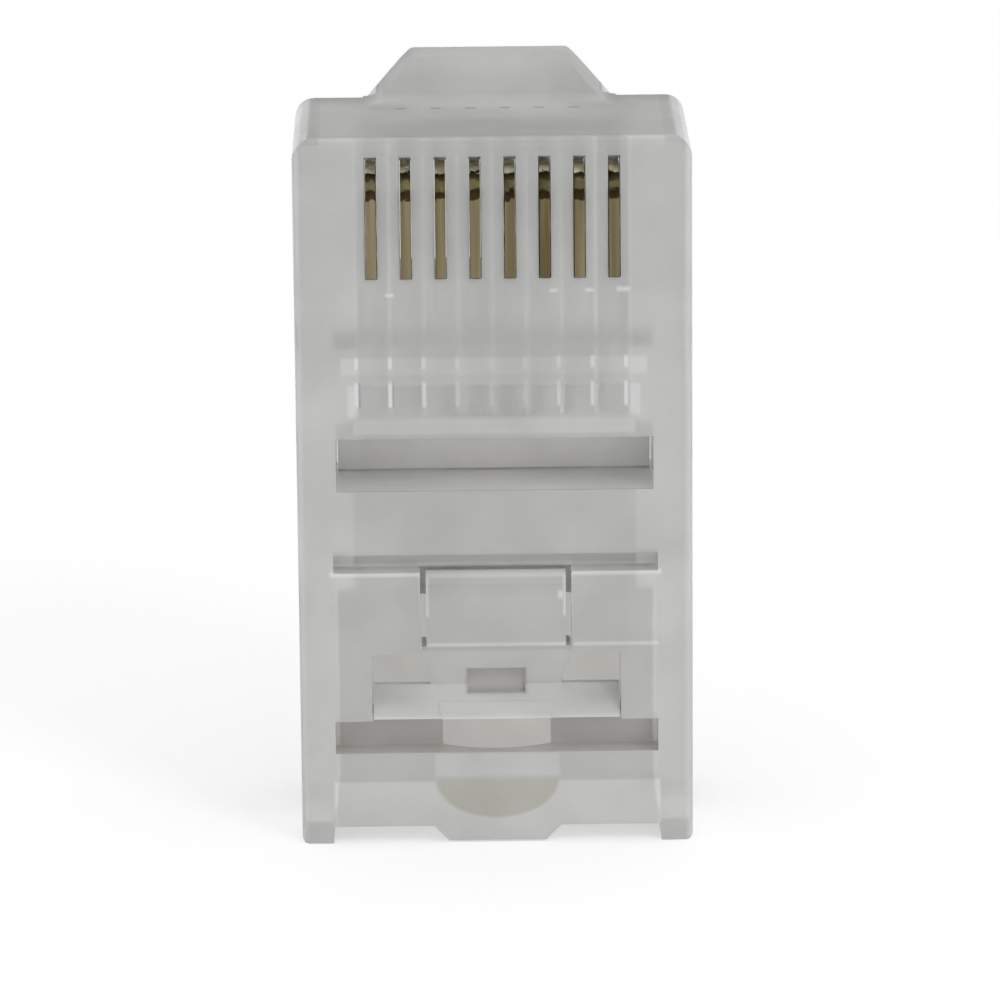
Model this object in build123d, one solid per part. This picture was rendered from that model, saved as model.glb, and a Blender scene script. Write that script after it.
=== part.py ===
from build123d import *
import math
import os

# An eight-way modular plug for round network cable, unwired, standing on its cable end with the nose up.
# X runs across the plug, Y from the contact side (negative) to the latch side, and Z from the cable end to the nose.
# The origin is the middle of the cable entry, in the plane of the feet. All sizes are millimetres.

# Housing block
body_width = 11.68
body_depth = 6.60
body_length = 21.46
side_edge_radius = 0.30
nose_edge_radius = 0.50
nose_corner_radius = 0.70
foot_corner_radius = 0.20

# Thicker collar on the latch side of the cable end
collar_length = 6.10
collar_step = 0.20

# Feet: the side walls run on a little past the contact-side wall
foot_width = 0.95
foot_length = 0.51
rear_lip_width = 3.80
rear_lip_end_width = 2.90
rear_lip_gap = 0.06

# Cavity for the cable's jacket: eight-sided, with a round way through its flat walls
cavity_width = 9.40
cavity_wall = 1.15
cavity_flat_width = 3.90
cavity_side_depth = 1.90
cavity_length = 7.40
jacket_bore_rise = 0.70

# Funnel that leads the cable in, longer on the contact side
funnel_near_length = 1.90
funnel_far_length = 1.20
funnel_mouth_wall = 0.15
funnel_corner = 0.15

# Flat passage that the eight wires fan out in
passage_width = 8.44
passage_depth = 1.27
passage_rise = 0.12

# Wire channels and the comb that parts the wires
wire_count = 8
wire_pitch = 1.016
channel_width = 0.90
channel_flat_depth = 0.56
channel_axis_depth = 3.43
comb_setback = 8.91
comb_length = 1.60
comb_edge = 0.05
nose_wall = 0.51

# Contact blades and their slots
blade_thickness = 0.30
blade_length = 3.21
blade_setback = 0.96
blade_height = 2.92
blade_proud = 0.10
blade_shoulder_radius = 0.80
blade_tooth_count = 3
blade_tooth_height = 1.05
blade_tooth_tip = 0.10
slot_side_clearance = 0.03
slot_end_clearance = 0.04
shoulder_room = 0.35
shoulder_room_depth = 1.30

# Recess and bar that grip the wires
wire_recess_width = 9.36
wire_recess_setback = 0.11
wire_recess_height = 1.60
wire_bar_end_gap = 0.03
wire_bar_gap = 0.05
wire_bar_depth = 0.50
wire_bar_reach = 0.30
wire_bar_travel = 0.50
wire_bar_floor_gap = 0.03
wire_ridge_height = 0.12
wire_ridge_land = 0.30

# Opening in the contact-side wall for the tongue that grips the jacket
hinge_groove_width = 9.60
hinge_groove_top = 8.90
hinge_groove_height = 0.55
hinge_groove_depth = 0.75
window_width = 7.40
window_depth = 2.20
window_height = 2.30
window_drop = 0.24
gap_height = 0.99
gap_depth = 0.95

# Tongue that grips the jacket
tongue_width = 4.14
tongue_slit = 0.17
tongue_flat_length = 2.27
tongue_thickness = 0.80
tongue_knuckle_radius = 0.38
tongue_knuckle_clearance = 0.03
tongue_knuckle_inset = 0.02
tongue_back_clearance = 0.05
neck_top_width = 4.42
neck_width = 3.90
neck_root = 0.60
neck_shoulder = 0.35
neck_taper = 0.25
bar_side_clearance = 0.04
bar_bottom_clearance = 0.05
bar_height = 0.85
bar_edge_height = 0.12
bar_top_depth = 0.85
bar_inset = 0.05
pad_top_width = 3.45
pad_bottom_width = 3.25
pad_height = 0.44
pad_proud = 0.06
tongue_pocket_width = 1.72
tongue_pocket_rise = 0.62
tongue_pocket_height = 0.80
tongue_pocket_depth = 0.10

# Pocket moulded in the latch side under the wire channels
core_width = 9.50
core_rise = 1.95
core_height = 1.80
core_floor = 0.42

# Hump on the nose that carries the latch
hump_base_width = 7.46
hump_top_width = 4.60
hump_height = 1.25
hump_start = 5.10
hump_reach = 1.60
hump_slope = 0.40
hump_round = 0.75
hump_base_drop = 0.42
hump_foot_spread = 0.85
hump_foot_rise = 0.50
hump_front_spread = 0.45
hump_front_rise = 0.25
hump_crown_round = 0.32
hump_sink = 0.60
hump_apron = 0.30

# Latch
latch_angle = 12.0
latch_length = 14.20
latch_width = 6.02
latch_root_thickness = 0.90
latch_handle_thickness = 1.10
latch_catch_distance = 8.10
latch_catch_ramp = 3.00
latch_catch_height = 0.60
latch_catch_land = 0.60
latch_handle_width = 3.25
latch_tip_width = 3.60
latch_tip_round = 0.45
latch_tip_flare = 3.00
latch_tip_straight = 1.20
latch_knuckle_radius = 0.55
latch_knuckle_clearance = 0.03
latch_axis_reach = 0.88
latch_axis_drop = 0.72

# Places worked out from the sizes
contact_face = -body_depth / 2
latch_face = body_depth / 2
cavity_depth = body_depth - 2 * cavity_wall
cavity_near = -cavity_depth / 2
jacket_bore_radius = cavity_depth / 2 + jacket_bore_rise
funnel_mouth_width = body_width - 2 * foot_width
funnel_mouth_depth = body_depth - 2 * funnel_mouth_wall
channel_axis = contact_face + channel_axis_depth
channel_top = channel_axis - channel_flat_depth
channel_front = body_length - nose_wall
passage_near = channel_top - passage_rise
passage_far = passage_near + passage_depth
comb_start = body_length - comb_setback
comb_end = comb_start + comb_length
wire_recess_bottom = comb_start - wire_recess_setback - wire_recess_height
blade_front = body_length - blade_setback
blade_back = blade_front - blade_length
slot_width = blade_thickness + 2 * slot_side_clearance
groove_bottom = hinge_groove_top - hinge_groove_height
tongue_top = groove_bottom
tongue_end = tongue_top - tongue_flat_length
window_top = tongue_end - window_drop
window_bottom = tongue_end - window_height
gap_bottom = window_bottom - gap_height
tongue_axis_y = contact_face + tongue_knuckle_radius + tongue_knuckle_inset
tongue_axis_z = tongue_top - tongue_knuckle_radius - tongue_knuckle_clearance
latch_axis_y = latch_face + latch_axis_reach
latch_axis_z = body_length - latch_axis_drop


def block(x_size, y_range, z_range):
    """A box centred across the plug, between two depths and two heights."""
    y_low, y_high = y_range
    z_low, z_high = z_range
    box = Box(x_size, y_high - y_low, z_high - z_low)
    return Pos(0, (y_low + y_high) / 2, (z_low + z_high) / 2) * box


def side_profile(points, width):
    """A solid with an outline drawn in depth and height, as wide as told and centred across the plug."""
    outline = Polyline(*[(0, y, z) for y, z in points], close=True)
    face = make_face(outline)
    return extrude(face, amount=width / 2, dir=(1, 0, 0), both=True)


def front_profile(points, y_range):
    """A solid with an outline drawn in width and height, between two depths."""
    y_low, y_high = y_range
    outline = Polyline(*[(x, y_low, z) for x, z in points], close=True)
    face = make_face(outline)
    return extrude(face, amount=y_high - y_low, dir=(0, 1, 0))


def across_cylinder(radius, y, z, width):
    """A cylinder whose axis runs across the plug."""
    return Pos(0, y, z) * Rot(0, 90, 0) * Cylinder(radius, width)


def wire_places():
    """Middle of each wire channel across the plug."""
    first = -(wire_count - 1) * wire_pitch / 2
    return [first + i * wire_pitch for i in range(wire_count)]


def outer_block():
    """The outside of the housing: three rounded outlines crossed, and the collar step."""
    plan = extrude(RectangleRounded(body_width, body_depth, side_edge_radius), amount=body_length)
    front = Plane.XZ * RectangleRounded(body_width, 2 * body_length, nose_corner_radius)
    side = Plane.YZ * RectangleRounded(body_depth, 2 * body_length, nose_edge_radius)
    feet = Plane.XZ * Pos(0, body_length) * RectangleRounded(body_width, 2 * body_length, foot_corner_radius)
    body = plan & extrude(front, amount=body_depth, both=True)
    body = body & extrude(feet, amount=body_depth, both=True)
    body = body & extrude(side, amount=body_width, both=True)
    collar = block(body_width, (0, latch_face + collar_step), (0, collar_length))
    far_edges = collar.edges().filter_by(Axis.Z).group_by(Axis.Y)[-1]
    return body + fillet(far_edges, side_edge_radius)


def jacket_cavity():
    """The hollow for the cable's jacket: eight flat sides with a round way through them, and the lead-in."""
    flat = extrude(ring_face(cavity_corner()), amount=cavity_length)
    bore = Pos(0, 0, cavity_length / 2) * Cylinder(jacket_bore_radius, cavity_length)
    return flat + bore + funnel()


def cavity_corner():
    """The two points that draw one corner of the cavity's eight-sided section."""
    return (cavity_width / 2, cavity_side_depth / 2), (cavity_flat_width / 2, cavity_depth / 2)


def funnel():
    """The lead-in at the cable end, from a wide mouth to the cavity's own section."""
    mouth_x, mouth_y = funnel_mouth_width / 2, funnel_mouth_depth / 2
    mouth = (mouth_x, mouth_y - funnel_corner), (mouth_x - funnel_corner, mouth_y)
    middle = (funnel_near_length + funnel_far_length) / 2
    lean = (funnel_far_length - funnel_near_length) / cavity_depth
    return loft([ring_face(mouth), ring_face(cavity_corner(), middle, lean)], ruled=True)


def ring_face(corner, height=0, lean=0):
    """An eight-sided face from the two points of one corner, mirrored into the other three, level or leaning."""
    (ax, ay), (bx, by) = corner
    points = [(ax, ay), (bx, by), (-bx, by), (-ax, ay), (-ax, -ay), (-bx, -by), (bx, -by), (ax, -ay)]
    return make_face(Polyline(*[(x, y, height + lean * y) for x, y in points], close=True))


def wire_passage():
    """The flat hollow from the jacket's end to the comb."""
    return block(passage_width, (passage_near, passage_far), (cavity_length - 0.01, comb_start + 0.01))


def channel_face(width):
    """The section of a wire channel: flat towards the blade, round towards the latch."""
    half = width / 2
    left = (-half, -channel_flat_depth)
    right = (half, -channel_flat_depth)
    sides = Line((-half, 0), left) + Line(left, right) + Line(right, (half, 0))
    return make_face(sides + ThreePointArc((half, 0), (0, half), (-half, 0)))


def wire_channel(x):
    """One wire's way from the comb to the nose, with its widened start."""
    start = Plane((x, channel_axis, comb_start), x_dir=(1, 0, 0), z_dir=(0, 0, 1))
    narrow = start.offset(comb_length)
    wide_face = start * channel_face(wire_pitch - comb_edge)
    narrow_face = narrow * channel_face(channel_width)
    lead = loft([wide_face, narrow_face])
    return lead + extrude(narrow_face, amount=channel_front - comb_end, dir=(0, 0, 1))


def contact_slot(x):
    """One blade's slot, from the contact face into the wire channel, with room for the shoulder in front."""
    deep = Box(slot_width, channel_axis - contact_face, blade_length + 2 * slot_end_clearance)
    deep_z = (blade_back + blade_front) / 2
    slot = Pos(x, (channel_axis + contact_face) / 2, deep_z) * deep
    room_length = slot_end_clearance + shoulder_room
    room = Box(slot_width, shoulder_room_depth, room_length)
    room_z = blade_front + room_length / 2
    return slot + Pos(x, contact_face + shoulder_room_depth / 2, room_z) * room


def wire_recess():
    """The deep recess across the contact side, with room for the wire bar to be pressed in."""
    floor = passage_near + wire_bar_reach + wire_bar_travel + wire_bar_floor_gap
    z_range = (wire_recess_bottom, wire_recess_bottom + wire_recess_height)
    return block(wire_recess_width, (contact_face, floor), z_range)


def tongue_opening():
    """The hinge groove, window and gap in the contact-side wall around the jacket tongue."""
    groove_range = (groove_bottom, hinge_groove_top)
    opening = block(hinge_groove_width, (contact_face, contact_face + hinge_groove_depth), groove_range)
    tongue_slot_width = tongue_width + 2 * tongue_slit
    opening += block(tongue_slot_width, (contact_face, cavity_near), (window_top, groove_bottom))
    window_floor = contact_face + window_depth
    opening += block(tongue_slot_width, (contact_face, window_floor), (window_top, cavity_length))
    opening += block(window_width, (contact_face, window_floor), (window_bottom, window_top))
    gap_range = (gap_bottom, window_bottom)
    return opening + block(hinge_groove_width, (contact_face, contact_face + gap_depth), gap_range)


def rear_cut():
    """What the contact-side wall lacks between the feet, apart from the lip in its middle."""
    inner_width = body_width - 2 * foot_width
    cut = block(inner_width, (contact_face, 0), (0, foot_length))
    lip_half, lip_end_half = rear_lip_width / 2, rear_lip_end_width / 2
    lip = [
        (-lip_half, foot_length),
        (-lip_end_half, rear_lip_gap),
        (lip_end_half, rear_lip_gap),
        (lip_half, foot_length),
    ]
    return cut - front_profile(lip, (contact_face, cavity_near))


def core_pocket():
    """The pocket in the latch side that thins the plastic under the channels."""
    floor = channel_axis + channel_width / 2 + core_floor
    low = comb_start + core_rise
    return block(core_width, (floor, latch_face), (low, low + core_height))


def hollow_curve(foot, shoulder):
    """An arc that leaves the nose's flat at one point and climbs to another."""
    run = shoulder[0] - foot[0]
    rise = shoulder[1] - foot[1]
    radius = (run**2 + rise**2) / (2 * rise)
    half_angle = math.asin(abs(run) / radius) / 2
    along = math.copysign(radius * math.sin(half_angle), run)
    middle = (foot[0] + along, foot[1] + radius - radius * math.cos(half_angle))
    return ThreePointArc(foot, middle, shoulder)


def hump_side():
    """The hump's outline in depth and height, with a hollow curve where its front meets the nose."""
    start = contact_face + hump_start
    top = body_length + hump_height
    reach = latch_face + hump_reach
    low = latch_axis_z - latch_knuckle_radius - hump_apron
    foot = (start - hump_front_spread, body_length)
    shoulder = (start + hump_slope * hump_front_rise / hump_height, body_length + hump_front_rise)
    straight = [
        shoulder,
        (start + hump_slope, top),
        (reach, top),
        (reach, latch_axis_z),
        (latch_face - hump_sink, low),
        (foot[0], body_length - hump_sink),
        foot,
    ]
    outline = Plane.YZ * make_face([hollow_curve(foot, shoulder), Polyline(*straight)])
    side = extrude(outline, amount=body_width / 2, dir=(1, 0, 0), both=True)
    return fillet(side.edges().filter_by(Axis.X).group_by(Axis.Z)[-1], hump_round)


def hump_front():
    """The hump's outline in width and height, with a foot on each side that runs out into the nose."""
    top = body_length + hump_height
    low = latch_axis_z - latch_knuckle_radius - hump_apron
    base, crown = hump_base_width / 2, hump_top_width / 2
    base_z = body_length - hump_base_drop
    sides = front_profile(
        [(-base, low), (-base, base_z), (-crown, top), (crown, top), (base, base_z), (base, low)],
        (0, latch_face + hump_reach),
    )
    sides = fillet(sides.edges().filter_by(Axis.Y).group_by(Axis.Z)[-1], hump_crown_round)
    lean = (base - crown) / (top - base_z)
    shoulder_x = base - lean * (hump_foot_rise + hump_base_drop)
    shoulder = (shoulder_x, body_length + hump_foot_rise)
    foot = (shoulder_x + hump_foot_spread, body_length)
    right = hollow_curve(foot, shoulder)
    left = hollow_curve((-foot[0], foot[1]), (-shoulder[0], shoulder[1]))
    below = body_length - hump_sink
    crossing = Line(shoulder, (-shoulder[0], shoulder[1]))
    under = Polyline((-foot[0], foot[1]), (-foot[0], below), (foot[0], below), foot)
    flare = Plane.XZ * make_face([right, crossing, left, under])
    return sides + extrude(flare, amount=latch_face - nose_edge_radius / 2, dir=(0, 1, 0))


def latch_hump():
    """The rounded hump on the nose that the latch springs from, and its spread foot."""
    return hump_side() & hump_front()


def housing():
    """The moulded housing, without the pieces that bend at its thin hinges."""
    body = outer_block() + latch_hump()
    body -= jacket_cavity()
    body -= wire_passage()
    body -= wire_recess()
    body -= tongue_opening()
    body -= rear_cut()
    body -= core_pocket()
    for x in wire_places():
        body -= wire_channel(x)
        body -= contact_slot(x)
    knuckle_width = tongue_width + 2 * tongue_slit
    knuckle_radius = tongue_knuckle_radius + tongue_knuckle_clearance
    body -= across_cylinder(knuckle_radius, tongue_axis_y, tongue_axis_z, knuckle_width)
    socket_radius = latch_knuckle_radius + latch_knuckle_clearance
    socket_width = latch_width + 2 * latch_knuckle_clearance
    body -= across_cylinder(socket_radius, latch_axis_y, latch_axis_z, socket_width)
    pressed_lever = latch_axis_y - latch_root_thickness / 2 - 2 * latch_knuckle_clearance
    below_axis = (latch_axis_z - hump_reach, latch_axis_z)
    body -= block(body_width, (pressed_lever, latch_axis_y + hump_reach), below_axis)
    return body


def contact_blade(x):
    """One blade: flat top, rounded shoulder at the front, and teeth that pierce the wire."""
    top = contact_face - blade_proud
    tip = top + blade_height
    root = tip - blade_tooth_height
    tooth_pitch = blade_length / blade_tooth_count
    shoulder_z = blade_front - blade_shoulder_radius
    shoulder_y = top + blade_shoulder_radius
    edge = [Line((0, top, shoulder_z), (0, top, blade_back)), Line((0, top, blade_back), (0, root, blade_back))]
    last = (0, root, blade_back)
    for i in range(blade_tooth_count):
        low = blade_back + i * tooth_pitch
        middle = low + tooth_pitch / 2
        tooth = [
            (0, tip, middle - blade_tooth_tip / 2),
            (0, tip, middle + blade_tooth_tip / 2),
            (0, root, low + tooth_pitch),
        ]
        for point in tooth:
            edge.append(Line(last, point))
            last = point
    front = (0, shoulder_y, blade_front)
    edge.append(Line(last, front))
    slope = math.sqrt(0.5) * blade_shoulder_radius
    crown = (0, shoulder_y - slope, shoulder_z + slope)
    edge.append(ThreePointArc(front, crown, (0, top, shoulder_z)))
    face = make_face(edge)
    blade = extrude(face, amount=blade_thickness / 2, dir=(1, 0, 0), both=True)
    return Pos(x, 0, 0) * blade


def wire_bar():
    """The bar that is pressed onto the wires, with a ridge inside."""
    inner = passage_near + wire_bar_reach
    outer = inner - wire_bar_depth
    low = wire_recess_bottom + wire_bar_gap
    high = wire_recess_bottom + wire_recess_height - wire_bar_gap
    middle = (low + high) / 2
    section = [
        (outer, low),
        (outer, high),
        (inner - wire_ridge_height, high),
        (inner, middle + wire_ridge_land / 2),
        (inner, middle - wire_ridge_land / 2),
        (inner - wire_ridge_height, low),
    ]
    return side_profile(section, wire_recess_width - 2 * wire_bar_end_gap)


def jacket_tongue():
    """The tongue that grips the jacket: a flat face, a neck sloping inwards and a cross bar with a sloping top."""
    inner = cavity_near - tongue_back_clearance
    bar_low = window_bottom + bar_bottom_clearance
    bar_high = bar_low + bar_height
    bar_outer = contact_face + bar_inset
    flat_inner = contact_face + tongue_thickness
    flat = block(tongue_width, (contact_face, flat_inner), (tongue_end, tongue_axis_z))
    flat += across_cylinder(tongue_knuckle_radius, tongue_axis_y, tongue_axis_z, tongue_width)
    neck_side = [
        (contact_face, tongue_end),
        (flat_inner, tongue_end + neck_root),
        (inner, tongue_end),
        (inner, bar_low),
        (inner - neck_taper, bar_high),
    ]
    half_top, half_neck = neck_top_width / 2, neck_width / 2
    neck_front = [
        (-tongue_width / 2, tongue_end + neck_root),
        (-tongue_width / 2, tongue_end),
        (-half_top, tongue_end),
        (-half_top, tongue_end - neck_shoulder),
        (-half_neck, bar_high),
        (-half_neck, bar_low),
    ]
    neck_front += [(-x, z) for x, z in reversed(neck_front)]
    neck = side_profile(neck_side, body_width) & front_profile(neck_front, (contact_face, 0))
    bar_side = [
        (bar_outer, bar_low),
        (bar_outer, bar_low + bar_edge_height),
        (contact_face + bar_top_depth, bar_high),
        (inner, bar_high),
        (inner, bar_low),
    ]
    bar = side_profile(bar_side, window_width - 2 * bar_side_clearance)
    pad_side = [(y - pad_proud, z) for y, z in bar_side]
    pad_front = [
        (-pad_bottom_width / 2, bar_low),
        (-pad_top_width / 2, bar_low + pad_height),
        (pad_top_width / 2, bar_low + pad_height),
        (pad_bottom_width / 2, bar_low),
    ]
    pad = side_profile(pad_side, body_width) & front_profile(pad_front, (contact_face - 1, 0))
    tongue = flat + neck + bar + pad
    pocket_low = bar_low + tongue_pocket_rise
    pocket_range = (pocket_low, pocket_low + tongue_pocket_height)
    pocket_floor = contact_face + bar_top_depth + tongue_pocket_depth
    return tongue - block(tongue_pocket_width, (contact_face - 1, pocket_floor), pocket_range)


def latch():
    """The latch lever, drawn along its own length and then leaned out from the body."""
    inner = -latch_root_thickness / 2
    outer = latch_root_thickness / 2
    catch_start = latch_catch_distance - latch_catch_ramp
    catch_outer = outer + latch_catch_height
    handle_outer = inner + latch_handle_thickness
    side = [
        (inner, 0),
        (outer, 0),
        (outer, -catch_start),
        (catch_outer, -latch_catch_distance + latch_catch_land),
        (catch_outer, -latch_catch_distance),
        (handle_outer, -latch_catch_distance),
        (handle_outer, -latch_length),
        (inner, -latch_length),
    ]
    lever = side_profile(side, latch_width)
    tip_edges = lever.edges().filter_by(Axis.X).group_by(Axis.Z)[0]
    lever = fillet(tip_edges, latch_tip_round)
    half, handle, tip = latch_width / 2, latch_handle_width / 2, latch_tip_width / 2
    outline = [
        (-half, 1),
        (-half, -latch_catch_distance),
        (-handle, -latch_catch_distance),
        (-handle, -latch_length + latch_tip_flare),
        (-tip, -latch_length + latch_tip_straight),
        (-tip, -latch_length - 1),
    ]
    outline += [(-x, z) for x, z in reversed(outline)]
    lever &= front_profile(outline, (-2, 2))
    lever += Rot(0, 90, 0) * Cylinder(latch_knuckle_radius, latch_width)
    return Pos(0, latch_axis_y, latch_axis_z) * Rot(latch_angle, 0, 0) * lever


def main():
    os.makedirs("parts", exist_ok=True)
    export_step(housing(), "parts/housing.step")
    export_step(latch(), "parts/latch.step")
    export_step(jacket_tongue(), "parts/jacket_tongue.step")
    export_step(wire_bar(), "parts/wire_bar.step")
    for number, x in enumerate(wire_places(), start=1):
        export_step(contact_blade(x), f"parts/contact_{number}.step")


main()
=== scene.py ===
import math
from collections import namedtuple

import bmesh
import bpy
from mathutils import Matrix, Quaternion, Vector

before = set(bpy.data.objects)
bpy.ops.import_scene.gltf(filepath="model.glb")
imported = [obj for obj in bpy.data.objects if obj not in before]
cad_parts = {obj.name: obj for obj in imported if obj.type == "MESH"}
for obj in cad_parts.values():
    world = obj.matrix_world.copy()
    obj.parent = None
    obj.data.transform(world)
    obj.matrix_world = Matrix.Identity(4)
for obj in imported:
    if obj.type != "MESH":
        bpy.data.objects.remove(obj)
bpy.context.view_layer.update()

# The housing is one clear polycarbonate moulding. Its outer faces carry the fine matt skin
# of the mould, a little smoky and greyed further by painted light and shade, the walls by the
# contact side are hazy, and the channels and slots behind them are left bright and glassy by
# polished cores.
BODY_MIDDLE = (0.0, 0.0, 0.01073)
BODY_HALF_SIZE = (0.00584, 0.0033, 0.01073)
SKIN_STARTS = 0.962
SKIN_FULL = 0.980
EDGE_BLEND = 0.00005
WARMTH = 0.01
TONE_SPAN = 0.0228


def added(tree, kind, **settings):
    """A new node of a kind, with its plain settings made."""
    node = tree.nodes.new(kind)
    for name, value in settings.items():
        setattr(node, name, value)
    return node


def new_material(name):
    """A fresh node material, its node tree and its principled shader."""
    material = bpy.data.materials.new(name)
    material.use_nodes = True
    return material, material.node_tree, material.node_tree.nodes["Principled BSDF"]


def object_place(tree):
    """The place on the object, in metres."""
    return added(tree, "ShaderNodeTexCoord").outputs["Object"]


def scaled(tree, value, low, high, start=0.0, end=1.0):
    """The value, between a start and an end, turned into a number from low to high."""
    scale = added(tree, "ShaderNodeMapRange")
    scale.inputs["From Min"].default_value = start
    scale.inputs["From Max"].default_value = end
    scale.inputs["To Min"].default_value = low
    scale.inputs["To Max"].default_value = high
    tree.links.new(value, scale.inputs["Value"])
    return scale.outputs["Result"]


def combined(tree, how, first, second=0.0):
    """Two numbers combined by a sum of one kind."""
    sum_node = added(tree, "ShaderNodeMath", operation=how)
    for socket, value in zip(sum_node.inputs, (first, second)):
        if isinstance(value, float):
            socket.default_value = value
        else:
            tree.links.new(value, socket)
    return sum_node.outputs[0]


def product(tree, first, *others):
    """Several shares multiplied together."""
    for other in others:
        first = combined(tree, "MULTIPLY", first, other)
    return first


def grey(level):
    """A grey that is a little warm."""
    return (level, level, level - WARMTH)


def blended(tree, share, low, high, how="MIX"):
    """Two colours, or a colour and a link, blended by a share."""
    mix = added(tree, "ShaderNodeMix", data_type="RGBA", blend_type=how)
    for socket, value in ((mix.inputs[6], low), (mix.inputs[7], high)):
        if isinstance(value, tuple):
            socket.default_value = (*value, 1)
        else:
            tree.links.new(value, socket)
    if isinstance(share, float):
        mix.inputs[0].default_value = share
    else:
        tree.links.new(share, mix.inputs[0])
    return mix.outputs[2]


def mottle(tree, scale, detail, stretch=(1, 1, 1)):
    """A soft random pattern fixed to the object, from nought to one."""
    placing = added(tree, "ShaderNodeMapping")
    placing.inputs["Scale"].default_value = stretch
    tree.links.new(object_place(tree), placing.inputs["Vector"])
    pattern = added(tree, "ShaderNodeTexNoise")
    pattern.inputs["Scale"].default_value = scale
    pattern.inputs["Detail"].default_value = detail
    tree.links.new(placing.outputs[0], pattern.inputs["Vector"])
    return pattern.outputs["Fac"]


def toned(tree, value, stops):
    """Tones or numbers told at places from nought to one, blended in between."""
    ramp = added(tree, "ShaderNodeValToRGB")
    marks = ramp.color_ramp.elements
    marks.remove(marks[1])
    for number, (place, tone) in enumerate(stops):
        mark = marks.new(place) if number else marks[0]
        mark.position = place
        mark.color = (*tone, 1) if isinstance(tone, tuple) else (tone, tone, tone, 1)
    tree.links.new(value, ramp.inputs[0])
    return ramp.outputs["Color"]


def along_body(tree, sides, stops):
    """Tones or numbers told at heights up the body, blended in between."""
    height = scaled(tree, sides.outputs["Z"], 0.0, 1.0, 0.0, TONE_SPAN)
    return toned(tree, height, [(place / TONE_SPAN, tone) for place, tone in stops])


def greys_along_body(tree, sides, levels):
    """Warm greys told at heights up the body, blended in between."""
    return along_body(tree, sides, [(height, grey(level)) for height, level in levels])


def beyond(tree, value, edge):
    """One past an edge and nought before it, with a short blend."""
    return scaled(tree, value, 0.0, 1.0, edge - EDGE_BLEND, edge + EDGE_BLEND)


def short_of(tree, value, edge):
    """One before an edge and nought past it, with a short blend."""
    return scaled(tree, value, 1.0, 0.0, edge - EDGE_BLEND, edge + EDGE_BLEND)


def box_mask(tree, sides, low, high):
    """One inside a box with its faces square to the plug, nought outside."""
    inside = 1.0
    for axis, start, end in zip("XYZ", low, high):
        past = beyond(tree, sides.outputs[axis], start)
        inside = product(tree, inside, past, short_of(tree, sides.outputs[axis], end))
    return inside


def boxes_mask(tree, sides, boxes):
    """One inside any of some boxes."""
    inside = 0.0
    for low, high in boxes:
        inside = combined(tree, "MAXIMUM", inside, box_mask(tree, sides, low, high))
    return inside


def touching(piece, boxes):
    """The boxes that reach the faces of a CAD node."""
    points = [vertex.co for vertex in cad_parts[piece].data.vertices]
    lowest = [min(point[axis] for point in points) - EDGE_BLEND for axis in range(3)]
    highest = [max(point[axis] for point in points) + EDGE_BLEND for axis in range(3)]
    return [
        (low, high)
        for low, high in boxes
        if all(low[axis] < highest[axis] and high[axis] > lowest[axis] for axis in range(3))
    ]


def moulding_skin(tree):
    """One on the outer faces of the body and of what stands out from it, nought inside."""
    centred = added(tree, "ShaderNodeVectorMath", operation="SUBTRACT")
    centred.inputs[1].default_value = BODY_MIDDLE
    tree.links.new(object_place(tree), centred.inputs[0])
    folded = added(tree, "ShaderNodeVectorMath", operation="ABSOLUTE")
    tree.links.new(centred.outputs[0], folded.inputs[0])
    share = added(tree, "ShaderNodeVectorMath", operation="DIVIDE")
    share.inputs[1].default_value = BODY_HALF_SIZE
    tree.links.new(folded.outputs[0], share.inputs[0])
    shares = added(tree, "ShaderNodeSeparateXYZ")
    tree.links.new(share.outputs[0], shares.inputs[0])
    furthest = combined(tree, "MAXIMUM", shares.outputs[0], shares.outputs[1])
    furthest = combined(tree, "MAXIMUM", furthest, shares.outputs[2])
    return scaled(tree, furthest, 0.0, 1.0, SKIN_STARTS, SKIN_FULL)


NEAR_HAZE_FULL = -0.0009
NEAR_HAZE_ENDS = 0.0001
NOSE_HAZE_STARTS = 0.0206
NOSE_HAZE_FULL = 0.0213
FAR_TONE = (0.90, 0.90, 0.895)

Moulding = namedtuple("Moulding", "material tree shader sides skin haze")


def started_moulding(name):
    """A new clear plastic, with its skin and its haze by the contact side and on the nose."""
    material, tree, shader = new_material(name)
    sides = added(tree, "ShaderNodeSeparateXYZ")
    tree.links.new(object_place(tree), sides.inputs[0])
    near = scaled(tree, sides.outputs["Y"], 1.0, 0.0, NEAR_HAZE_FULL, NEAR_HAZE_ENDS)
    nose = scaled(tree, sides.outputs["Z"], 0.0, 1.0, NOSE_HAZE_STARTS, NOSE_HAZE_FULL)
    haze = combined(tree, "MAXIMUM", near, nose)
    return Moulding(material, tree, shader, sides, moulding_skin(tree), haze)


# Painted highlights: pale frosted boxes on the recess, ledges, fold lines, slit edges and contact
# slots, and small painted glints.
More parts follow.
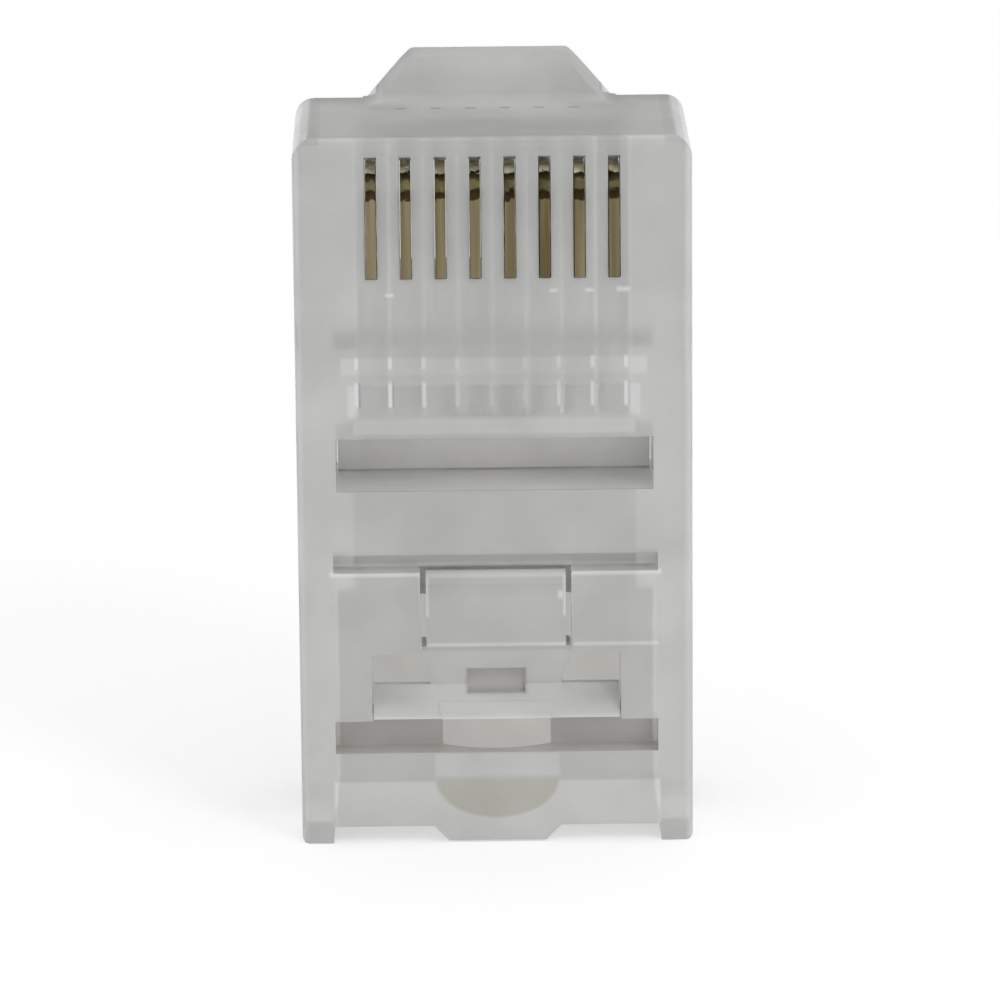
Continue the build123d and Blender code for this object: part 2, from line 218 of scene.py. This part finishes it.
PAINTED_HIGHLIGHT_SPOTS = (
    ((-0.00480, -0.00322, 0.01079), (0.00480, -0.00050, 0.01249)),
    ((-0.00490, -0.00340, 0.00824), (0.00490, -0.00245, 0.00841)),
    ((-0.00207, -0.00340, 0.00608), (0.00207, -0.00320, 0.00617)),
    ((0.00230, -0.00340, 0.00608), (0.00480, -0.00320, 0.00617)),
    ((-0.00370, -0.00340, 0.00380), (0.00370, -0.00305, 0.00393)),
    ((-0.00450, -0.00317, 0.01640), (0.00450, -0.00290, 0.02080)),
    ((-0.00224, -0.00340, 0.00700), (-0.00200, -0.00120, 0.00845)),
    ((0.00200, -0.00340, 0.00700), (0.00224, -0.00120, 0.00845)),
    ((-0.00232, -0.00340, 0.00820), (0.00232, -0.00230, 0.00845)),
    ((0.00184, -0.00340, 0.00752), (0.00202, -0.00310, 0.00776)),
    ((-0.00316, -0.00340, 0.01673), (-0.00292, -0.00320, 0.01681)),
    ((0.00165, -0.00340, 0.01684), (0.00189, -0.00320, 0.01692)),
    ((0.00270, -0.00340, 0.01684), (0.00294, -0.00320, 0.01692)),
    ((0.00362, -0.00340, 0.01683), (0.00400, -0.00320, 0.01697)),
)
PAINTED_HIGHLIGHT_TONE = (1.0, 0.995, 0.975)
PAINTED_HIGHLIGHT_CLEARNESS = 0.10
SHADED_SLOTS = (
    ((-0.00500, -0.00322, 0.00845), (0.00500, -0.00245, 0.00900)),
    ((-0.00500, -0.00322, 0.00270), (0.00500, -0.00228, 0.00378)),
    ((-0.00092, -0.00330, 0.00443), (0.00092, -0.00220, 0.00527)),
)
SLOT_SHADE = (0.790, 0.775, 0.740)
SKIN_ROUGHNESS = 0.21
CORE_ROUGHNESS = 0.13
STREAK_ROUGHNESS = 0.04
STREAK_STRETCH = (1, 1, 0.3)
STREAK_SPREAD = (0.3, 0.7)
CLOUD_SCALE = 420
CLOUD_DEPTH = 0.10
CLOUD_SPREAD = (0.35, 0.65)
RIPPLE_SCALE = 1500
RIPPLE_STRENGTH = 0.5
RIPPLE_HEIGHT = 0.000006
POLYCARBONATE_IOR = 1.50


def faces_tone(made, piece, inside, outside):
    """The colour of a piece: its cores, dimmer in the shaded slots, and its outer faces."""
    shaded = boxes_mask(made.tree, made.sides, touching(piece, SHADED_SLOTS))
    inside = blended(made.tree, shaded, inside, SLOT_SHADE)
    return blended(made.tree, made.skin, inside, outside)


def finished_moulding(made, piece, tone, clearness, frost=0.0, matt=0.0):
    """Puts the painted highlights, the clouds, the streaks and the ripple on a clear plastic."""
    tree = made.tree
    # Painted highlights: pale, frosted boxes where light would catch the ledges and edges.
    pale = boxes_mask(tree, made.sides, touching(piece, PAINTED_HIGHLIGHT_SPOTS))
    tone = blended(tree, pale, tone, PAINTED_HIGHLIGHT_TONE)
    clouds = mottle(tree, CLOUD_SCALE, 3)
    cloud = scaled(tree, clouds, 1 - CLOUD_DEPTH, 1.0, *CLOUD_SPREAD)
    veil = added(tree, "ShaderNodeCombineColor")
    for socket in veil.inputs:
        tree.links.new(cloud, socket)
    clouded = blended(tree, 1.0, tone, veil.outputs[0], "MULTIPLY")
    tree.links.new(clouded, made.shader.inputs["Base Color"])
    frost = combined(tree, "MAXIMUM", frost, pale)
    clearness = blended(tree, frost, clearness, (PAINTED_HIGHLIGHT_CLEARNESS,) * 3)
    tree.links.new(clearness, made.shader.inputs["Transmission Weight"])
    polish = scaled(tree, made.skin, CORE_ROUGHNESS, SKIN_ROUGHNESS)
    streaks = mottle(tree, CLOUD_SCALE, 2, STREAK_STRETCH)
    streak = scaled(tree, streaks, -STREAK_ROUGHNESS, STREAK_ROUGHNESS, *STREAK_SPREAD)
    roughness = combined(tree, "MAXIMUM", combined(tree, "ADD", polish, streak), matt)
    tree.links.new(roughness, made.shader.inputs["Roughness"])
    ripple = added(tree, "ShaderNodeBump")
    ripple.inputs["Strength"].default_value = RIPPLE_STRENGTH
    ripple.inputs["Distance"].default_value = RIPPLE_HEIGHT
    tree.links.new(mottle(tree, RIPPLE_SCALE, 2), ripple.inputs["Height"])
    tree.links.new(ripple.outputs[0], made.shader.inputs["Normal"])
    made.shader.inputs["IOR"].default_value = POLYCARBONATE_IOR
    return made.material


def finish_node(name, material):
    """Gives a CAD node its finish."""
    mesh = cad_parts[name].data
    mesh.materials.clear()
    mesh.materials.append(material)


HOUSING_CORE = (0.975, 0.975, 0.965)
# Painted shade on the cavity's far faces and in the round way, and painted light on the lead-in's
# slopes.
CAVITY_PAINTED_SHADE = (0.400, 0.385, 0.350)
CAVITY_TOP = 0.0074
CAVITY_FAR_SIDE = 0.0007
SLOPE_PAINTED_LIGHT = (0.990, 0.990, 0.985)
FUNNEL_WAY_PAINTED_SHADE = (0.480, 0.460, 0.410)
FUNNEL_TOP = 0.0019
FUNNEL_NEAR = -0.0032
BORE_RADIUS = 0.00285


def funnel_masks(tree, sides):
    """The lead-in's flat slopes by the contact side, and the round way that runs out there."""
    low = short_of(tree, sides.outputs["Z"], FUNNEL_TOP)
    near = short_of(tree, sides.outputs["Y"], 0.0)
    behind_wall = beyond(tree, sides.outputs["Y"], FUNNEL_NEAR)
    lead_in = product(tree, low, near, behind_wall)
    flat = added(tree, "ShaderNodeCombineXYZ")
    tree.links.new(sides.outputs["X"], flat.inputs[0])
    tree.links.new(sides.outputs["Y"], flat.inputs[1])
    reach = added(tree, "ShaderNodeVectorMath", operation="LENGTH")
    tree.links.new(flat.outputs[0], reach.inputs[0])
    slopes = beyond(tree, reach.outputs["Value"], BORE_RADIUS + EDGE_BLEND)
    way = short_of(tree, reach.outputs["Value"], BORE_RADIUS + EDGE_BLEND)
    return product(tree, lead_in, slopes), product(tree, lead_in, way)


def housing_cores(tree, sides, slopes, way):
    """The colour of the faces inside: painted shade in the cavity and the round way, painted
    light, frosted, on the lead-in's slopes.
    """
    low = short_of(tree, sides.outputs["Z"], CAVITY_TOP)
    far = beyond(tree, sides.outputs["Y"], CAVITY_FAR_SIDE)
    inside = blended(tree, product(tree, low, far), HOUSING_CORE, CAVITY_PAINTED_SHADE)
    inside = blended(tree, slopes, inside, SLOPE_PAINTED_LIGHT)
    return blended(tree, way, inside, FUNNEL_WAY_PAINTED_SHADE)


# Painted light and shade: greys up the contact side and patches on it, for what shows through the
# wall.
WALL_LIGHT_AND_SHADE_LEVELS = (
    (0.0020, 0.80),
    (0.0084, 0.78),
    (0.0092, 0.74),
    (0.0122, 0.75),
    (0.0133, 0.76),
    (0.0142, 0.73),
    (0.0150, 0.68),
    (0.0157, 0.70),
    (0.0164, 0.73),
    (0.0190, 0.67),
    (0.0213, 0.67),
    (0.0215, 0.87),
)
HOLLOWS = (
    ((-0.00475, -0.00340, -0.00100), (0.00475, -0.00300, 0.00840)),
    ((-0.00422, -0.00340, 0.00840), (0.00422, -0.00300, 0.01250)),
    ((-0.00407, -0.00340, 0.01250), (0.00407, -0.00300, 0.02300)),
)
THICK_WALL_TONE = (0.94, 0.94, 0.94)
WALL_LIGHT_AND_SHADE_PATCHES = (
    ((-0.00600, -0.00323, 0.02090), (-0.00505, 0.00340, 0.02200), 0.55),
    ((0.00505, -0.00323, 0.02090), (0.00600, 0.00340, 0.02200), 0.55),
    ((-0.00487, -0.00340, -0.00100), (0.00487, -0.00310, 0.00190), 0.97),
    ((-0.00415, -0.00340, 0.01258), (0.00415, -0.00310, 0.01300), 0.88),
    ((-0.00450, -0.00340, 0.01437), (0.00450, -0.00310, 0.01488), 0.78),
    ((-0.00185, -0.00340, 0.00205), (0.00185, -0.00310, 0.00276), 0.90),
)
# Painted shade: a brownish half round where the round way shows through the contact side.
WAY_SHOWS_TOP = 0.00195
WAY_SHOWS_HEIGHT = 0.00120
WAY_SHOWS_HALF_WIDTH = 0.00185
WAY_SHOWS_EDGE = (0.90, 1.05)
WAY_SHOWS_PAINTED_SHADE = (0.770, 0.755, 0.680)
# Painted shade on the feet and painted light along the sides.
FOOT_INNER = 0.00487
FOOT_TOP = 0.00190
FOOT_PAINTED_SHADE = grey(0.72)
SIDE_STARTS = 0.00560
SIDE_FULL = 0.00575
SIDE_PAINTED_LIGHT = (0.86, 0.86, 0.855)


def contact_side(tree, sides):
    """One on the flat face that the contacts stand in."""
    return short_of(tree, sides.outputs["Y"], -BODY_HALF_SIZE[1] + 2 * EDGE_BLEND)


def painted_way_shade(tree, sides):
    """A half round on the contact side, painted shade where the round way shows through above the
    edge.
    """
    across = combined(tree, "DIVIDE", sides.outputs["X"], WAY_SHOWS_HALF_WIDTH)
    lower = combined(tree, "SUBTRACT", sides.outputs["Z"], WAY_SHOWS_TOP)
    lower = combined(tree, "DIVIDE", lower, WAY_SHOWS_HEIGHT)
    across_squared = combined(tree, "POWER", across, 2.0)
    squares = combined(tree, "ADD", across_squared, combined(tree, "POWER", lower, 2.0))
    round_part = scaled(tree, squares, 1.0, 0.0, *WAY_SHOWS_EDGE)
    below = short_of(tree, sides.outputs["Z"], WAY_SHOWS_TOP)
    return product(tree, round_part, contact_side(tree, sides), below)


def housing_walls(tree, sides, haze, across):
    """The colour of the outer walls, painted light and shade for what lies behind them, with
    painted shade on the feet and painted light at the sides.
    """
    outside = greys_along_body(tree, sides, WALL_LIGHT_AND_SHADE_LEVELS)
    thick = combined(tree, "SUBTRACT", 1.0, boxes_mask(tree, sides, HOLLOWS))
    outside = blended(tree, thick, outside, THICK_WALL_TONE, "MULTIPLY")
    for low, high, level in WALL_LIGHT_AND_SHADE_PATCHES:
        outside = blended(tree, box_mask(tree, sides, low, high), outside, grey(level))
    outside = blended(tree, painted_way_shade(tree, sides), outside, WAY_SHOWS_PAINTED_SHADE)
    beside = beyond(tree, across, FOOT_INNER)
    foot = product(tree, beside, short_of(tree, sides.outputs["Z"], FOOT_TOP))
    outside = blended(tree, foot, outside, FOOT_PAINTED_SHADE)
    side = scaled(tree, across, 0.0, 1.0, SIDE_STARTS, SIDE_FULL)
    outside = blended(tree, side, outside, SIDE_PAINTED_LIGHT)
    return blended(tree, haze, FAR_TONE, outside)


# Painted shade on the nose's top face, painted light by the hump's foot, painted shade dashes
# over the channel ends.
NOSE_TOP_START = 0.02139
NOSE_TOP_FULL = 0.02144
NOSE_TOP_ENDS = 0.02149
NOSE_TOP_PAINTED_SHADE = grey(0.60)
NOSE_ROUGHNESS = 0.85
HUMP_FOOT_PAINTED_LIGHT = (0.960, 0.960, 0.945)
HUMP_FOOT_NARROW = 0.0020
HUMP_FOOT_WIDE = 0.0034
HUMP_FOOT_START = -0.0008
HUMP_FOOT_FULL = 0.0024
MARK_PITCH = 0.00103
MARK_SHIFT = -0.00043
MARK_INNER = 0.00010
MARK_OUTER = 0.00020
MARK_REACH = 0.00300
MARK_LOW = 0.00099
MARK_HIGH = 0.00115
CHANNEL_END_PAINTED_SHADE = grey(0.36)


def comb(tree, value, shift, pitch, inner, outer):
    """One close to each step of a pitch, nought in between."""
    share = combined(tree, "DIVIDE", combined(tree, "ADD", value, shift), pitch)
    nearest = combined(tree, "ROUND", share)
    off_centre = combined(tree, "ABSOLUTE", combined(tree, "SUBTRACT", share, nearest))
    return scaled(tree, off_centre, 1.0, 0.0, inner / pitch, outer / pitch)


def nose_top(tree, sides, across, above, outside):
    """The nose's flat top in painted shade, painted light at the hump's foot, and dashes of
    painted shade where the channel ends show through.
    """
    face = product(tree, above, short_of(tree, sides.outputs["Z"], NOSE_TOP_ENDS))
    close = scaled(tree, sides.outputs["Y"], 0.0, 1.0, HUMP_FOOT_START, HUMP_FOOT_FULL)
    beside = scaled(tree, across, 1.0, 0.0, HUMP_FOOT_NARROW, HUMP_FOOT_WIDE)
    hump_foot_light = product(tree, close, beside)
    tone = blended(tree, hump_foot_light, NOSE_TOP_PAINTED_SHADE, HUMP_FOOT_PAINTED_LIGHT)
    outside = blended(tree, face, outside, tone)
    ends = comb(tree, sides.outputs["X"], MARK_SHIFT, MARK_PITCH, MARK_INNER, MARK_OUTER)
    in_row = beyond(tree, sides.outputs["Y"], MARK_LOW)
    in_row = product(tree, in_row, short_of(tree, sides.outputs["Y"], MARK_HIGH))
    marks = product(tree, face, ends, in_row, short_of(tree, across, MARK_REACH))
    return blended(tree, marks, outside, CHANNEL_END_PAINTED_SHADE)


# Painted glints: short white strokes, with strips of painted shade beside them, where the comb's
# tips lie behind the wall.
STROKE_PITCH = 0.00099
STROKE_REACH = 0.0045
STROKE_ROWS = (
    (0.01340, 0.01415),
    (0.01455, 0.01490),
)
STROKE_LEAST = 0.15
STROKE_LEAST_AT = 0.0006
STROKE_FULL_AT = 0.0030
STROKE_SHIFT = 0.00008
STROKE_HALF_WIDTH = 0.00004
GLINT_TONE = (1.0, 1.0, 1.0)
STROKE_PATCHES_SCALE = 700
STROKE_PATCHES_SPREAD = (0.40, 0.60)
ALL_ACROSS = (1, 0, 0)
SHADE_SHIFT = -0.00001
SHADE_HALF_WIDTH = 0.00002
SHADE_TONE = grey(0.46)


def comb_glints_and_shade(tree, sides, across, shift, half_width, rows):
    """Short upright marks on the contact side by the comb's tips, used for painted glints and
    painted shade.
    """
    width = (half_width, 2 * half_width)
    near_tip = comb(tree, sides.outputs["X"], shift, STROKE_PITCH, *width)
    in_rows = 0.0
    for low, high in rows:
        above = beyond(tree, sides.outputs["Z"], low)
        in_row = product(tree, above, short_of(tree, sides.outputs["Z"], high))
        in_rows = combined(tree, "MAXIMUM", in_rows, in_row)
    within = product(tree, contact_side(tree, sides), short_of(tree, across, STROKE_REACH))
    return product(tree, near_tip, in_rows, within)


HAZY_CLEARNESS = (
    (0.0020, 0.22),
    (0.0084, 0.20),
    (0.0127, 0.24),
    (0.0212, 0.22),
    (0.0216, 0.35),
)
CLEAR_WINDOW = ((-0.00430, -0.00340, 0.01310), (0.00430, -0.00300, 0.01405))
WINDOW_CLEARNESS = 0.60
CORE_CLEARNESS = 0.90


def housing_plastic():
    """The housing's own clear plastic, from the cavity out to the comb's tips."""
    made = started_moulding("housing_plastic")
    tree, sides = made.tree, made.sides
    across = combined(tree, "ABSOLUTE", sides.outputs["X"])
    above = scaled(tree, sides.outputs["Z"], 0.0, 1.0, NOSE_TOP_START, NOSE_TOP_FULL)
    outside = housing_walls(tree, sides, made.haze, across)
    outside = nose_top(tree, sides, across, above, outside)
    # Painted shade strokes, then painted glints, on the contact side.
    strength = scaled(tree, across, STROKE_LEAST, 1.0, STROKE_LEAST_AT, STROKE_FULL_AT)
    patches = mottle(tree, STROKE_PATCHES_SCALE, 0, ALL_ACROSS)
    patchy = scaled(tree, patches, 0.0, 1.0, *STROKE_PATCHES_SPREAD)
    lower_row = STROKE_ROWS[:1]
    shade = comb_glints_and_shade(tree, sides, across, SHADE_SHIFT, SHADE_HALF_WIDTH, lower_row)
    outside = blended(tree, product(tree, shade, strength, patchy), outside, SHADE_TONE)
    strokes = comb_glints_and_shade(tree, sides, across, STROKE_SHIFT, STROKE_HALF_WIDTH, STROKE_ROWS)
    strokes = product(tree, strokes, strength)
    outside = blended(tree, strokes, outside, GLINT_TONE)
    slopes, way = funnel_masks(tree, sides)
    tone = faces_tone(made, "housing", housing_cores(tree, sides, slopes, way), outside)
    window = box_mask(tree, sides, *CLEAR_WINDOW)
    hazy = blended(tree, window, along_body(tree, sides, HAZY_CLEARNESS), (WINDOW_CLEARNESS,) * 3)
    clearness = blended(tree, made.haze, (CORE_CLEARNESS,) * 3, hazy)
    frost = combined(tree, "MAXIMUM", slopes, strokes)
    matt = scaled(tree, product(tree, above, made.skin), 0.0, NOSE_ROUGHNESS)
    return finished_moulding(made, "housing", tone, clearness, frost, matt)


finish_node("housing", housing_plastic())

# The jacket tongue and the wire bar belong to the same moulding as the housing. Both are
# thin, stand free of the walls and are formed by polished cores, so they look paler; the tongue's
# faces carry painted light, strongest on the pad.
# Painted light: paler greys up the tongue, palest on the pad at its foot.
TONGUE_LIGHT_LEVELS = (
    (0.0038, 0.95),
    (0.0043, 0.95),
    (0.0050, 0.84),
    (0.0082, 0.84),
)
TONGUE_CLEARNESS = ((0.0038, 0.20), (0.0044, 0.30))
BAR_CLEARNESS = ((0.0109, 0.15), (0.0124, 0.30))
BAR_CORE_CLEARNESS = 0.80


def tongue_plastic():
    """The jacket tongue's clear plastic, with painted light on the pad at its foot."""
    made = started_moulding("tongue_plastic")
    outside = greys_along_body(made.tree, made.sides, TONGUE_LIGHT_LEVELS)
    tone = faces_tone(made, "jacket_tongue", HOUSING_CORE, outside)
    clearness = along_body(made.tree, made.sides, TONGUE_CLEARNESS)
    return finished_moulding(made, "jacket_tongue", tone, clearness)


def bar_plastic():
    """The wire bar's clear plastic, frosted in front and clearer at its back."""
    made = started_moulding("wire_bar_plastic")
    hazy = along_body(made.tree, made.sides, BAR_CLEARNESS)
    clearness = blended(made.tree, made.haze, (BAR_CORE_CLEARNESS,) * 3, hazy)
    return finished_moulding(made, "wire_bar", HOUSING_CORE, clearness)


finish_node("jacket_tongue", tongue_plastic())
finish_node("wire_bar", bar_plastic())

# The latch is the springy lever on the far side, moulded with the housing in the same
# clear plastic, and glossier because nothing but the open mould touches it.
LATCH_CLEARNESS = 0.95
LATCH_ROOT_CLEARNESS = 0.85


def latch_plastic():
    """The latch's clear plastic, a little hazy at its root."""
    made = started_moulding("latch_plastic")
    hazy = (LATCH_ROOT_CLEARNESS,) * 3
    clearness = blended(made.tree, made.haze, (LATCH_CLEARNESS,) * 3, hazy)
    return finished_moulding(made, "latch", FAR_TONE, clearness)


finish_node("latch", latch_plastic())

# The eight contacts are stamped from copper alloy strip and flashed with gold. The strip's
# rolling lines run along each blade and the plating is thin and olive. The shoulder that dips
# into the slot carries painted shade, almost black, with a band of painted light, and the cut
# front end is bare and painted pale as painted light.
PLATING_DARK = (0.120, 0.096, 0.046)
PLATING_LIGHT = (0.270, 0.226, 0.138)
PLATING_SPREAD = (0.34, 0.66)
PLATING_ROUGHNESS = (0.30, 0.46)
ROLLING_SCALE = 2600
ROLLING_STRETCH = (1, 1, 0.035)
ROLLING_STRENGTH = 0.6
ROLLING_HEIGHT = 0.000008
SHOULDER_PATCH_SCALE = 3800
SHOULDER_PATCH_SPREAD = (0.3, 0.7)
SHOULDER_UNEVEN = 0.00008
SHOULDER_START = 0.01955
SHOULDER_LENGTH = 0.0010
# Painted shade and light along the shoulder: near black, a pale band, dark again, then the cut
# end painted pale.
SHOULDER_LIGHT_AND_SHADE = (
    (0.00, (1.00, 1.00, 1.00)),
    (0.05, (1.00, 1.00, 1.00)),
    (0.09, (0.24, 0.20, 0.13)),
    (0.33, (0.12, 0.11, 0.09)),
    (0.40, (0.64, 0.64, 0.52)),
    (0.60, (0.56, 0.57, 0.47)),
    (0.66, (0.22, 0.22, 0.18)),
    (0.80, (0.26, 0.26, 0.21)),
    (0.84, (4.00, 4.40, 5.00)),
    (1.00, (4.40, 4.80, 5.60)),
)
BARE_END_STARTS = 0.80
BARE_END_FULL = 0.84


def contact_metal():
    """Rolled strip with thin olive plating, painted shade and light on the shoulder, and a bare
    cut end painted pale.
    """
    material, tree, shader = new_material("contact_metal")
    rolling = mottle(tree, ROLLING_SCALE, 4, ROLLING_STRETCH)
    thickness = scaled(tree, rolling, 0.0, 1.0, *PLATING_SPREAD)
    plating = blended(tree, thickness, PLATING_DARK, PLATING_LIGHT)
    along = added(tree, "ShaderNodeSeparateXYZ")
    tree.links.new(object_place(tree), along.inputs[0])
    patches = mottle(tree, SHOULDER_PATCH_SCALE, 2)
    uneven = scaled(tree, patches, -SHOULDER_UNEVEN, SHOULDER_UNEVEN, *SHOULDER_PATCH_SPREAD)
    past_flat = combined(tree, "ADD", along.outputs["Z"], uneven)
    shoulder_end = SHOULDER_START + SHOULDER_LENGTH
    shoulder = scaled(tree, past_flat, 0.0, 1.0, SHOULDER_START, shoulder_end)
    shoulder_shade_and_light = toned(tree, shoulder, SHOULDER_LIGHT_AND_SHADE)
    tree.links.new(blended(tree, 1.0, plating, shoulder_shade_and_light, "MULTIPLY"), shader.inputs["Base Color"])
    tree.links.new(scaled(tree, rolling, *PLATING_ROUGHNESS), shader.inputs["Roughness"])
    bare = scaled(tree, shoulder, 1.0, 0.0, BARE_END_STARTS, BARE_END_FULL)
    tree.links.new(bare, shader.inputs["Metallic"])
    lines = added(tree, "ShaderNodeBump")
    lines.inputs["Strength"].default_value = ROLLING_STRENGTH
    lines.inputs["Distance"].default_value = ROLLING_HEIGHT
    tree.links.new(rolling, lines.inputs["Height"])
    tree.links.new(lines.outputs[0], shader.inputs["Normal"])
    return material


blade_metal = contact_metal()
for number in range(1, 9):
    finish_node(f"contact_{number}", blade_metal)

# The floor is a plain pale sheet at the feet, lit by a plain pale studio. The camera,
# a reflection and light bent through the plastic all see the studio as white.
FLOOR_SIZE = 0.6
FLOOR_COLOUR = (0.80, 0.80, 0.80, 1)
FLOOR_ROUGHNESS = 0.9
FLOOR_LIFT = 0.48
STUDIO_LEVEL = 0.62
KEY_POWER = 0.05
KEY_SIZE = 0.05
KEY_PLACE = (0.10, -0.14, 0.15)
bpy.context.scene.view_settings.view_transform = "Standard"


def seen_directly(tree):
    """One for a ray from the camera, a reflection or the clear plastic, and nought elsewhere."""
    path = added(tree, "ShaderNodeLightPath")
    seen = path.outputs["Is Camera Ray"]
    for share in ("Is Glossy Ray", "Is Transmission Ray"):
        seen = combined(tree, "MAXIMUM", seen, path.outputs[share])
    return seen


floor_mesh = bpy.data.meshes.new("floor")
sheet = bmesh.new()
bmesh.ops.create_grid(sheet, x_segments=1, y_segments=1, size=FLOOR_SIZE)
sheet.to_mesh(floor_mesh)
sheet.free()
floor = bpy.data.objects.new("floor", floor_mesh)
bpy.context.scene.collection.objects.link(floor)
floor_material, floor_tree, floor_shader = new_material("pale_floor")
floor_shader.inputs["Base Color"].default_value = FLOOR_COLOUR
floor_shader.inputs["Roughness"].default_value = FLOOR_ROUGHNESS
floor_shader.inputs["Specular IOR Level"].default_value = 0.0
floor_shader.inputs["Emission Color"].default_value = (1, 1, 1, 1)
lift = scaled(floor_tree, seen_directly(floor_tree), 0.0, FLOOR_LIFT)
floor_tree.links.new(lift, floor_shader.inputs["Emission Strength"])
floor_mesh.materials.append(floor_material)

studio = bpy.data.worlds.new("studio")
bpy.context.scene.world = studio
studio.use_nodes = True
air = studio.node_tree.nodes["Background"]
air.inputs["Color"].default_value = (1, 1, 1, 1)
level = scaled(studio.node_tree, seen_directly(studio.node_tree), STUDIO_LEVEL, 1.0)
studio.node_tree.links.new(level, air.inputs["Strength"])

key_data = bpy.data.lights.new("key", "AREA")
key_data.energy = KEY_POWER
key_data.size = KEY_SIZE
key = bpy.data.objects.new("key", key_data)
key.location = KEY_PLACE
key.rotation_mode = "QUATERNION"
key.rotation_quaternion = (key.location - Vector(BODY_MIDDLE)).to_track_quat("Z", "Y")
bpy.context.scene.collection.objects.link(key)

# The camera stands in front of the contact side and a little above the plug, with a long
# lens, and the picture is rolled by half a degree.
CAMERA_DISTANCE = 0.200
CAMERA_ELEVATION = math.radians(14.69)
CAMERA_AZIMUTH = math.radians(-0.56)
CAMERA_ROLL = math.radians(-0.50)
PICTURE_SIDE = 1000
PIXELS_PER_MM = 33.33
CAMERA_AIM = Vector((0.00018, 0.0, 0.00969))
SENSOR = 36.0

camera_data = bpy.data.cameras.new("camera")
camera = bpy.data.objects.new("camera", camera_data)
bpy.context.scene.collection.objects.link(camera)
flat_reach = math.cos(CAMERA_ELEVATION)
camera_back = Vector((
    math.sin(CAMERA_AZIMUTH) * flat_reach,
    -math.cos(CAMERA_AZIMUTH) * flat_reach,
    math.sin(CAMERA_ELEVATION),
))
roll = Quaternion((0, 0, 1), CAMERA_ROLL)
camera.rotation_mode = "QUATERNION"
camera.rotation_quaternion = (-camera_back).to_track_quat("-Z", "Y") @ roll
camera.location = CAMERA_AIM + camera_back * CAMERA_DISTANCE
picture_span = PICTURE_SIDE / PIXELS_PER_MM / 1000
camera_data.sensor_width = SENSOR
camera_data.lens = SENSOR * CAMERA_DISTANCE / picture_span
camera_data.clip_start = 0.01
camera_data.clip_end = 10.0
bpy.context.scene.camera = camera
